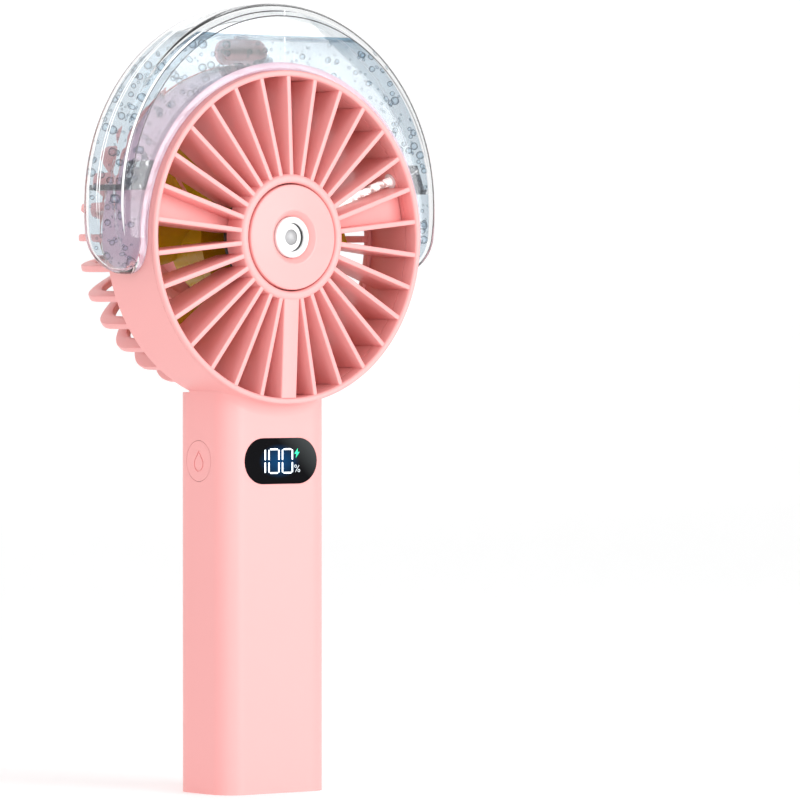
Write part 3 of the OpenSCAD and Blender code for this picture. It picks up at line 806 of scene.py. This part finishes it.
class FAN_OT_guard(bpy.types.Operator):
    """Domed rear guard of radial ribs, with the cup for the motor and the bridge for its wires"""

    bl_idname = "fan.guard"
    bl_label = "Rear guard"

    def execute(self, context):
        size = sizes()[1]
        turn, end, flat = 36 * MM, GUARD_DEPTH - 0.3 * MM, 0.7
        foot, ring, barrel = 20.6 * MM, 20.2 * MM, 22.4 * MM
        plate_front, plate_back, hub_front = 47.05 * MM, 48.65 * MM, 46.4 * MM
        cup_in, cup_out, cup_front, cup_back = 10.05 * MM, 11.8 * MM, 34.5 * MM, 47.6 * MM
        bridge_half, bridge_top, bridge_low = 4.2 * MM, -40.2 * MM, -41.6 * MM
        inner = BARREL_R - 1.7 * MM

        def dome(radius, tip):
            steps = [math.pi / 2 * i / 16 for i in range(17)]
            return [(size.hub + (radius - size.hub) * max(math.cos(a), 0) ** flat,
                     turn + (tip - turn) * math.sin(a) ** flat) for a in steps]

        outline = [(inner - 0.6 * MM, foot), (inner - 0.6 * MM, barrel - 0.3 * MM),
                   (size.radius, barrel + 0.8 * MM)]
        outline += dome(size.radius, end)
        outline += reversed(dome(size.radius - size.band, end - size.band + 0.4 * MM))
        outline += [(size.radius - size.band, barrel + 2 * MM), (size.radius - MM, foot)]
        ribs = grown("ribs", plate_mesh("rib", outline, size.rib, 0.42 * MM), ring_tree(), Count=size.ribs,
                     Places=size.ribs,
                     Start=0.0, Centre=tuple(AXIS), Material=finish("moulded_pink"))

        def build(shape):
            add_lathe(shape, rounded([
                (inner - 1.3 * MM, ring, 0.2 * MM), (inner - 0.1 * MM, ring, 0.2 * MM),
                (inner - 0.1 * MM, barrel, 0.2 * MM), (inner - 1.3 * MM, barrel, 0.2 * MM)], 2))
            add_lathe(shape, rounded([
                (size.hub - 0.7 * MM, hub_front, 0.3 * MM), (size.hub - 0.7 * MM, end + 0.2 * MM, 0.5 * MM),
                (size.hub + 2 * MM, end + 0.2 * MM, 0.9 * MM), (size.hub + 2 * MM, hub_front, 0.3 * MM)],
                                     3), 120)
            add_lathe(shape, rounded([
                (0.01 * MM, plate_front, 0), (0.01 * MM, plate_back, 0),
                (size.hub + MM, plate_back, 0.1 * MM),
                (size.hub + MM, plate_front, 0.1 * MM)], 1), 120)
            add_lathe(shape, rounded([
                (cup_in, cup_front, 0.2 * MM), (cup_in, cup_back, 0.1 * MM), (cup_out, cup_back, 0.1 * MM),
                (cup_out, cup_front, 0.4 * MM)], 2), 96)

        body = mesh_of("guard_rings", build)
        cover = [(-bridge_half, bridge_top, 0.2 * MM), (bridge_half, bridge_top, 0.2 * MM),
                 (bridge_half, bridge_low, 0.3 * MM), (-bridge_half, bridge_low, 0.3 * MM)]
        bridge = mesh_of("bridge", lambda shape: add_loops(
            shape, [[at(x, d, up) for x, up in rounded(cover, 2)]
                    for d in (barrel + 1.6 * MM, barrel + 12.6 * MM)], False))
        mesh = joined("guard", [ribs, body, bridge])
        sharpen(mesh)
        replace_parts(piece("guard", mesh, "moulded_pink"), "rear_guard")
        return {"FINISHED"}


# ---- Tank ----

def sweep(near, inset):
    """Angles round the barrel from one leg's tip to the other, each with its share of the full section"""
    tip_steps, arc_steps = 12, 96
    tip = (sizes()[2].tip - inset) / near
    turns = [math.pi / 2 * (1 - i / tip_steps) for i in range(tip_steps)]
    path = [(-tip * math.sin(a), math.cos(a)) for a in turns]
    path += [(math.pi * i / arc_steps, 1.0) for i in range(arc_steps + 1)]
    return path + [(math.pi - angle, scale) for angle, scale in reversed(path[:tip_steps])]


def crescent(inset):
    """Loops of points that sweep the tank's section round the barrel, each end drawn in like a fingertip"""
    size = sizes()[2]
    rise = TANK_TOP - size.radius
    near = BARREL_R + 0.2 * MM + inset
    middle = (TANK_LOW.y + BACK_HIGH.y) / 2 - AXIS.y
    half = (BACK_HIGH.y - TANK_LOW.y) / 2 - inset
    corner_steps = 8
    loops = []
    for angle, scale in sweep(near, inset):
        far = rise * math.sin(angle) + math.sqrt((size.radius - inset) ** 2 - (rise * math.cos(angle)) ** 2)
        outer = near + (far - near) * scale
        wide = half * scale
        shoulder = (size.shoulder - inset) * scale
        inner_round = 0.5 * MM * scale
        if scale < 1e-3:
            section = [(near, middle)] * (4 * (corner_steps + 1))
        else:
            section = rounded([(near, middle - wide, inner_round), (outer, middle - wide, shoulder),
                               (outer, middle + wide, shoulder), (near, middle + wide, inner_round)],
                              corner_steps)
        loops.append([at(r * math.cos(angle), d, r * math.sin(angle)) for r, d in section])
    return loops


def add_arc(shape, radius, depth, thick, first, last):
    """Thin line along the tank's outer arc between two angles in degrees, tapered at both ends"""
    size = sizes()[2]
    rise = TANK_TOP - size.radius
    steps, sides = 96, 8
    turns = [math.tau * k / sides for k in range(sides)]
    loops = []
    for step in range(steps + 1):
        share = step / steps
        angle = math.radians(first + (last - first) * share)
        girth = thick * min(1, 12 * share + 0.1, 12 * (1 - share) + 0.1)
        ring = [(girth * math.cos(t), girth * math.sin(t)) for t in turns]
        loops.append([at((radius + u) * math.cos(angle), depth + v, rise + (radius + u) * math.sin(angle))
                      for u, v in ring])
    add_loops(shape, loops, False)


class FAN_OT_tank(bpy.types.Operator):
    """Clear tank with a hollow inside, its seams lit by a painted highlight, a painted highlight on its
    front shoulder, painted dark edge lines and a glowing sheet of painted light over the barrel
    """

    bl_idname = "fan.tank"
    bl_label = "Water tank"

    def execute(self, context):
        size = sizes()[2]
        outside = mesh_of("tank_outside", lambda shape: add_loops(shape, crescent(0), False))
        hollow = mesh_of("tank_hollow", lambda shape: add_loops(shape, crescent(size.wall), False))
        hollow.flip_normals()
        mesh = joined("tank", [outside, hollow])
        sharpen(mesh, 50)
        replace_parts(piece("tank", mesh, "clear_plastic"), "tank_shell", "tank_back")
        front, rear = TANK_LOW.y - AXIS.y, BACK_HIGH.y - AXIS.y
        middle = (front + rear) / 2
        inside = size.radius - size.wall - 0.25 * MM

        # Seam lines with a painted highlight, a painted highlight on the front shoulder, and a dashed bright
        # line on the front face
        def seam_highlight_lines(shape):
            # The seam in two lines, on the outer wall and drawn again inside the wall on the right, lit by a
            # painted highlight
            for depth in (middle, middle + 1.1 * MM):
                add_arc(shape, size.radius, depth, 0.17 * MM, 62, 187)
                add_arc(shape, inside, depth, 0.15 * MM, -8, 68)
            # Painted highlight: a white stripe on the front shoulder in place of a lamp's reflection
            add_arc(shape, size.radius - 1.5 * MM, front + 1.6 * MM, 0.32 * MM, 118, 190)
            # A dashed bright line down the middle of the front face, near its top
            for dash in range(6):
                low = (48.6 + 2.5 * dash) * MM
                high = low + 1.5 * MM
                corners = ((-0.16, low), (0.16, low), (0.16, high), (-0.16, high))
                add_loops(shape, [[at(x * MM, front + d, up) for x, up in corners]
                                  for d in (-0.05 * MM, 0.1 * MM)],
                          False)

        # Painted reflections: thin dark lines along the tank's front and rear shoulders
        def edges(shape):
            add_arc(shape, size.radius - 3.6 * MM, front + 0.5 * MM, 0.16 * MM, 12, 176)
            add_arc(shape, size.radius - 2.6 * MM, front + 2.6 * MM, 0.14 * MM, 84, 170)
            add_arc(shape, size.radius - 3.6 * MM, rear - 0.5 * MM, 0.16 * MM, 88, 178)

        # Painted light: a thin glowing sheet just outside the barrel under the tank, with a lip along the
        # front wall
        def sheen(shape):
            thin, near, lip = 0.04 * MM, BARREL_R + 0.08 * MM, 2.2 * MM
            loops = []
            for angle, share in sweep(near, MM):
                wide = (middle - front - MM) * max(share, 0.02)
                loops.append([at(r * math.cos(angle), middle + d, r * math.sin(angle)) for r, d in (
                    (near, -wide), (near + lip * share, -wide), (near + lip * share, thin - wide),
                    (near + thin, thin - wide),
                    (near + thin, wide), (near, wide))])
            add_loops(shape, loops, False)

        piece("tank_painted_dark_edges", mesh_of("tank_painted_dark_edges", edges), "painted_dark_edge")
        piece("tank_painted_glow", mesh_of("tank_painted_glow", sheen), "painted_wall_glow")
        piece("tank_seam_highlight", mesh_of("tank_seam_highlight", seam_highlight_lines), "seam_painted_highlight")
        return {"FINISHED"}


def cut_above(shape, level):
    """Cuts off what stands above a level over the axis, and gives the parts along the cut"""
    everything = shape.verts[:] + shape.edges[:] + shape.faces[:]
    cut = bmesh.ops.bisect_plane(shape, geom=everything, dist=1e-7, plane_co=at(0, 0, level),
                                 plane_no=(0, 0, 1),
                                 clear_outer=True)
    return cut["geom_cut"]


class FAN_OT_water(bpy.types.Operator):
    """Water in the tank, with a flat top, and beads on the wall"""

    bl_idname = "fan.water"
    bl_label = "Water and drops"

    def execute(self, context):
        size = sizes()[2]

        def build(shape):
            add_loops(shape, crescent(size.wall + 0.15 * MM), False)
            rim = [e for e in cut_above(shape, size.level) if isinstance(e, bmesh.types.BMEdge)]
            bmesh.ops.holes_fill(shape, edges=rim, sides=0)

        mesh = mesh_of("water", build)
        sharpen(mesh, 50)
        piece("water", mesh, "still_water")

        def wall(shape):
            add_loops(shape, crescent(size.wall + 0.5 * MM), False)
            cut_above(shape, size.level - 2 * MM)

        beads = grown("drops", mesh_of("drops_wall", wall), drops_tree(), Density=size.drops,
                      Smallest=0.3 * MM,
                      Largest=1.25 * MM, Seed=size.seed, Material=finish("water_drop"))
        piece("drops", beads, "water_drop")
        return {"FINISHED"}


# ---- Handle ----

class FAN_OT_cove(bpy.types.Operator):
    """Fillet between the handle's front and the underside of the barrel"""

    bl_idname = "fan.cove"
    bl_label = "Cove under the head"

    def execute(self, context):
        half = (CAP_HIGH.x - CAP_LOW.x) / 2 + 1.92 * MM
        front = AXIS.y + 5.05 * MM
        corner, bury = 6.3 * MM, 0.3 * MM
        turns = [math.pi / 2 * s / 8 for s in range(9)]
        loops = []
        steps = 40
        for i in range(steps + 1):
            x = (half - 0.1 * MM) * (2 * i / steps - 1)
            over = max(abs(x) - (half - corner), 0)
            face = front + corner - math.sqrt(corner ** 2 - over ** 2)
            under = AXIS.z - math.sqrt(BARREL_R ** 2 - x ** 2)
            radius = 3.3 * MM * math.sqrt(max(1 - (abs(x) / half) ** 4, 0.0)) + 0.02 * MM
            arc = [(face - radius * (1 - math.cos(a)), under - radius * (1 - math.sin(a))) for a in turns]
            arc += [(face - radius, under + bury), (face + bury, under + bury),
                    (face + bury, under - radius)]
            loops.append([Vector((x, y, z)) for y, z in arc])
        mesh = mesh_of("cove", lambda shape: add_loops(shape, loops, False))
        sharpen(mesh, 40)
        piece("cove", mesh, "moulded_pink")
        return {"FINISHED"}


# Thickness of the lit tiles
TILE = 0.06 * MM


def lens_point(x, z):
    """Point on the display's face, from its middle"""
    middle = (LENS_LOW + LENS_HIGH) / 2
    return Vector((middle.x + x, LENS_LOW.y - 0.03 * MM, middle.z + z))


def add_flat(shape, outline):
    """Thin tile on the display's face"""
    loops = [[lens_point(x, z) + Vector((0, d, 0)) for x, z in outline] for d in (0, TILE)]
    add_loops(shape, loops, False)


def bar(x, z, length, upright):
    """Outline of one bar of a digit"""
    half, thick, soft = length / 2, 0.21 * MM, 0.19 * MM
    ends = [(-half, -thick), (half, -thick), (half, thick), (-half, thick)]
    return rounded([(x + (v if upright else u), z + (u if upright else v), soft) for u, v in ends], 4)


class FAN_OT_display(bpy.types.Operator):
    """Lit digits, charging bolt and percent sign in the display"""

    bl_idname = "fan.display"
    bl_label = "Display"

    def execute(self, context):
        def digits(shape):
            halves, ends, wide = (1.72 * MM, -1.75 * MM), (3.25 * MM, -3.28 * MM), 3.4 * MM
            for z in halves:
                add_flat(shape, bar(-5.5 * MM, z, 2.9 * MM, True))
            for left in (-4.2 * MM, 0.45 * MM):
                for x in (left, left + wide):
                    for z in halves:
                        add_flat(shape, bar(x, z, 2.8 * MM, True))
                for z in ends:
                    add_flat(shape, bar(left + wide / 2, z, 2.7 * MM, False))

        def bolt(shape):
            zigzag = [(5.75, 3.5), (4.55, 1.95), (5.3, 1.95), (5.0, 0.75), (6.35, 2.45), (5.6, 2.45)]
            add_flat(shape, [(x * MM, z * MM) for x, z in zigzag])

        def percent(shape):
            outer, inner = 0.4 * MM, 0.29 * MM
            for x, z in ((4.95, -1.5), (6.1, -2.75)):
                ring = [(math.cos(math.tau * i / 16), math.sin(math.tau * i / 16)) for i in range(16)]
                rows = [[lens_point(x * MM + r * c, z * MM + r * s) + Vector((0, d, 0)) for c, s in ring]
                        for r, d in ((outer, 0), (inner, 0), (inner, TILE), (outer, TILE))]
                add_loops(shape, rows, True)
            slash = [(4.85, -3.1), (4.98, -3.1), (6.25, -1.2), (6.12, -1.2)]
            add_flat(shape, [(x * MM, z * MM) for x, z in slash])

        for name, build, material in (("digits", digits, "lit_digits"), ("bolt", bolt, "lit_bolt"),
                                      ("percent", percent, "lit_percent")):
            piece(name, mesh_of(name, build), material, smooth=False)
        return {"FINISHED"}


class FAN_OT_finishes(bpy.types.Operator):
    """Finishes of the parts that keep their engineered shape"""

    bl_idname = "fan.finishes"
    bl_label = "Finishes"

    def execute(self, context):
        for name, nodes in NODE_FINISH.items():
            for node in nodes:
                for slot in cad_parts[node].material_slots:
                    slot.material = finish(name)
        return {"FINISHED"}


# ---- Studio ----

# Middle of the fan, which the lamps face
MIDDLE = Vector((0, 0, 0.13))


class FAN_OT_studio(bpy.types.Operator):
    """Pale floor with a curved back, soft lights and the camera"""

    bl_idname = "fan.studio"
    bl_label = "Studio"

    def execute(self, context):
        scene = context.scene
        scene.view_settings.view_transform = "Standard"
        self.backdrop()
        self.world(scene)
        self.light("key", (0.5, -1.45, 0.42), 1.1, 1.1, 15)
        self.light("side", (-1.3, -0.35, 0.35), 0.8, 1.1, 0.6)
        self.light("strip", (-0.8, -0.9, 0.35), 0.08, 1.2, 1.5)
        self.camera(scene)
        return {"FINISHED"}

    def backdrop(self):
        """Floor that bends up into a wall behind the fan"""
        flat, radius, height, side = 2.2, 0.8, 3.4, 3.5
        turns = [math.pi / 2 * i / 12 for i in range(1, 13)]
        bend = [(-3.0, 0), (flat, 0)]
        bend += [(flat + radius * math.sin(a), radius - radius * math.cos(a)) for a in turns]
        bend.append((flat + radius, height))
        mesh = bpy.data.meshes.new("floor")
        points = [(x, y, z) for y, z in bend for x in (-side, side)]
        faces = [(2 * i, 2 * i + 1, 2 * i + 3, 2 * i + 2) for i in range(len(bend) - 1)]
        mesh.from_pydata(points, [], faces)
        mesh.materials.append(finish("studio_floor"))
        mesh.polygons.foreach_set("use_smooth", [True] * len(mesh.polygons))
        floor = bpy.data.objects.new("floor", mesh)
        bpy.context.scene.collection.objects.link(floor)

    def world(self, scene):
        """White surroundings, brighter ahead of and behind the fan than at its sides"""
        world = bpy.data.worlds.new("studio")
        scene.world = world
        world.use_nodes = True
        tree = world.node_tree
        along = tree.nodes.new("ShaderNodeVectorMath")
        along.operation = "DOT_PRODUCT"
        along.inputs[1].default_value = (math.sin(BEARING), math.cos(BEARING), 0)
        tree.links.new(tree.nodes.new("ShaderNodeTexCoord").outputs["Generated"], along.inputs[0])
        facing = Value(tree, along.outputs["Value"]).maths("ABSOLUTE")
        start, span, dim = 0.15, 0.4, 0.43
        light = ((facing - start) / span).clamp() * (1 - dim) + dim
        background = tree.nodes["Background"]
        background.inputs["Color"].default_value = (1, 1, 1, 1)
        tree.links.new(light.socket, background.inputs["Strength"])

    def light(self, name, place, width, height, power):
        """Rectangular lamp that faces the middle of the fan"""
        data = bpy.data.lights.new(name, "AREA")
        data.shape = "RECTANGLE"
        data.size, data.size_y, data.energy = width, height, power
        lamp = bpy.data.objects.new(name, data)
        lamp.location = place
        aim = MIDDLE - lamp.location
        lamp.rotation_euler = aim.to_track_quat("-Z", "Y").to_euler()
        bpy.context.scene.collection.objects.link(lamp)

    def camera(self, scene):
        """Far and level, a little left of the front, aimed so that the fan stands left of the middle"""
        yaw, pitch = math.radians(1.033), math.radians(0.761)
        height, distance, focal = 0.131, 1.68, 274.5
        towards = Vector((math.sin(BEARING), math.cos(BEARING), 0))
        across = Vector((math.cos(BEARING), -math.sin(BEARING), 0))
        data = bpy.data.cameras.new("camera")
        data.lens, data.sensor_width = focal, 36
        camera = bpy.data.objects.new("camera", data)
        camera.location = Vector((AXIS.x, AXIS.y, height)) - distance * towards
        sight = towards * math.cos(yaw) + across * math.sin(yaw) + Vector((0, 0, -math.tan(pitch)))
        camera.rotation_euler = sight.to_track_quat("-Z", "Y").to_euler()
        scene.collection.objects.link(camera)
        scene.camera = camera


# ---- Panel ----

PIECES = (FAN_OT_finishes, FAN_OT_grille, FAN_OT_liner, FAN_OT_guard, FAN_OT_tank, FAN_OT_water,
          FAN_OT_cove, FAN_OT_display, FAN_OT_studio)


class FAN_PT_panel(bpy.types.Panel):
    """Lists the pieces of the fan"""

    bl_label = "Misting fan"
    bl_space_type = "VIEW_3D"
    bl_region_type = "UI"
    bl_category = "Fan"

    def draw(self, context):
        for group in sizes():
            box = self.layout.box()
            for key in group.__annotations__:
                box.prop(group, key)
        for operator in PIECES:
            self.layout.operator(operator.bl_idname)


GROUPS = {"fan_grille": FanGrille, "fan_guard": FanGuard, "fan_tank": FanTank, "fan_colours": FanColours}
CLASSES = tuple(GROUPS.values()) + PIECES + (FAN_PT_panel,)


def register():
    for cls in CLASSES:
        bpy.utils.register_class(cls)
    for name, group in GROUPS.items():
        setattr(bpy.types.Scene, name, bpy.props.PointerProperty(type=group))


def unregister():
    for name in GROUPS:
        delattr(bpy.types.Scene, name)
    for cls in reversed(CLASSES):
        bpy.utils.unregister_class(cls)


def main():
    register()
    for operator in PIECES:
        space, name = operator.bl_idname.split(".")
        getattr(getattr(bpy.ops, space), name)()


if __name__ == "__main__":
    main()
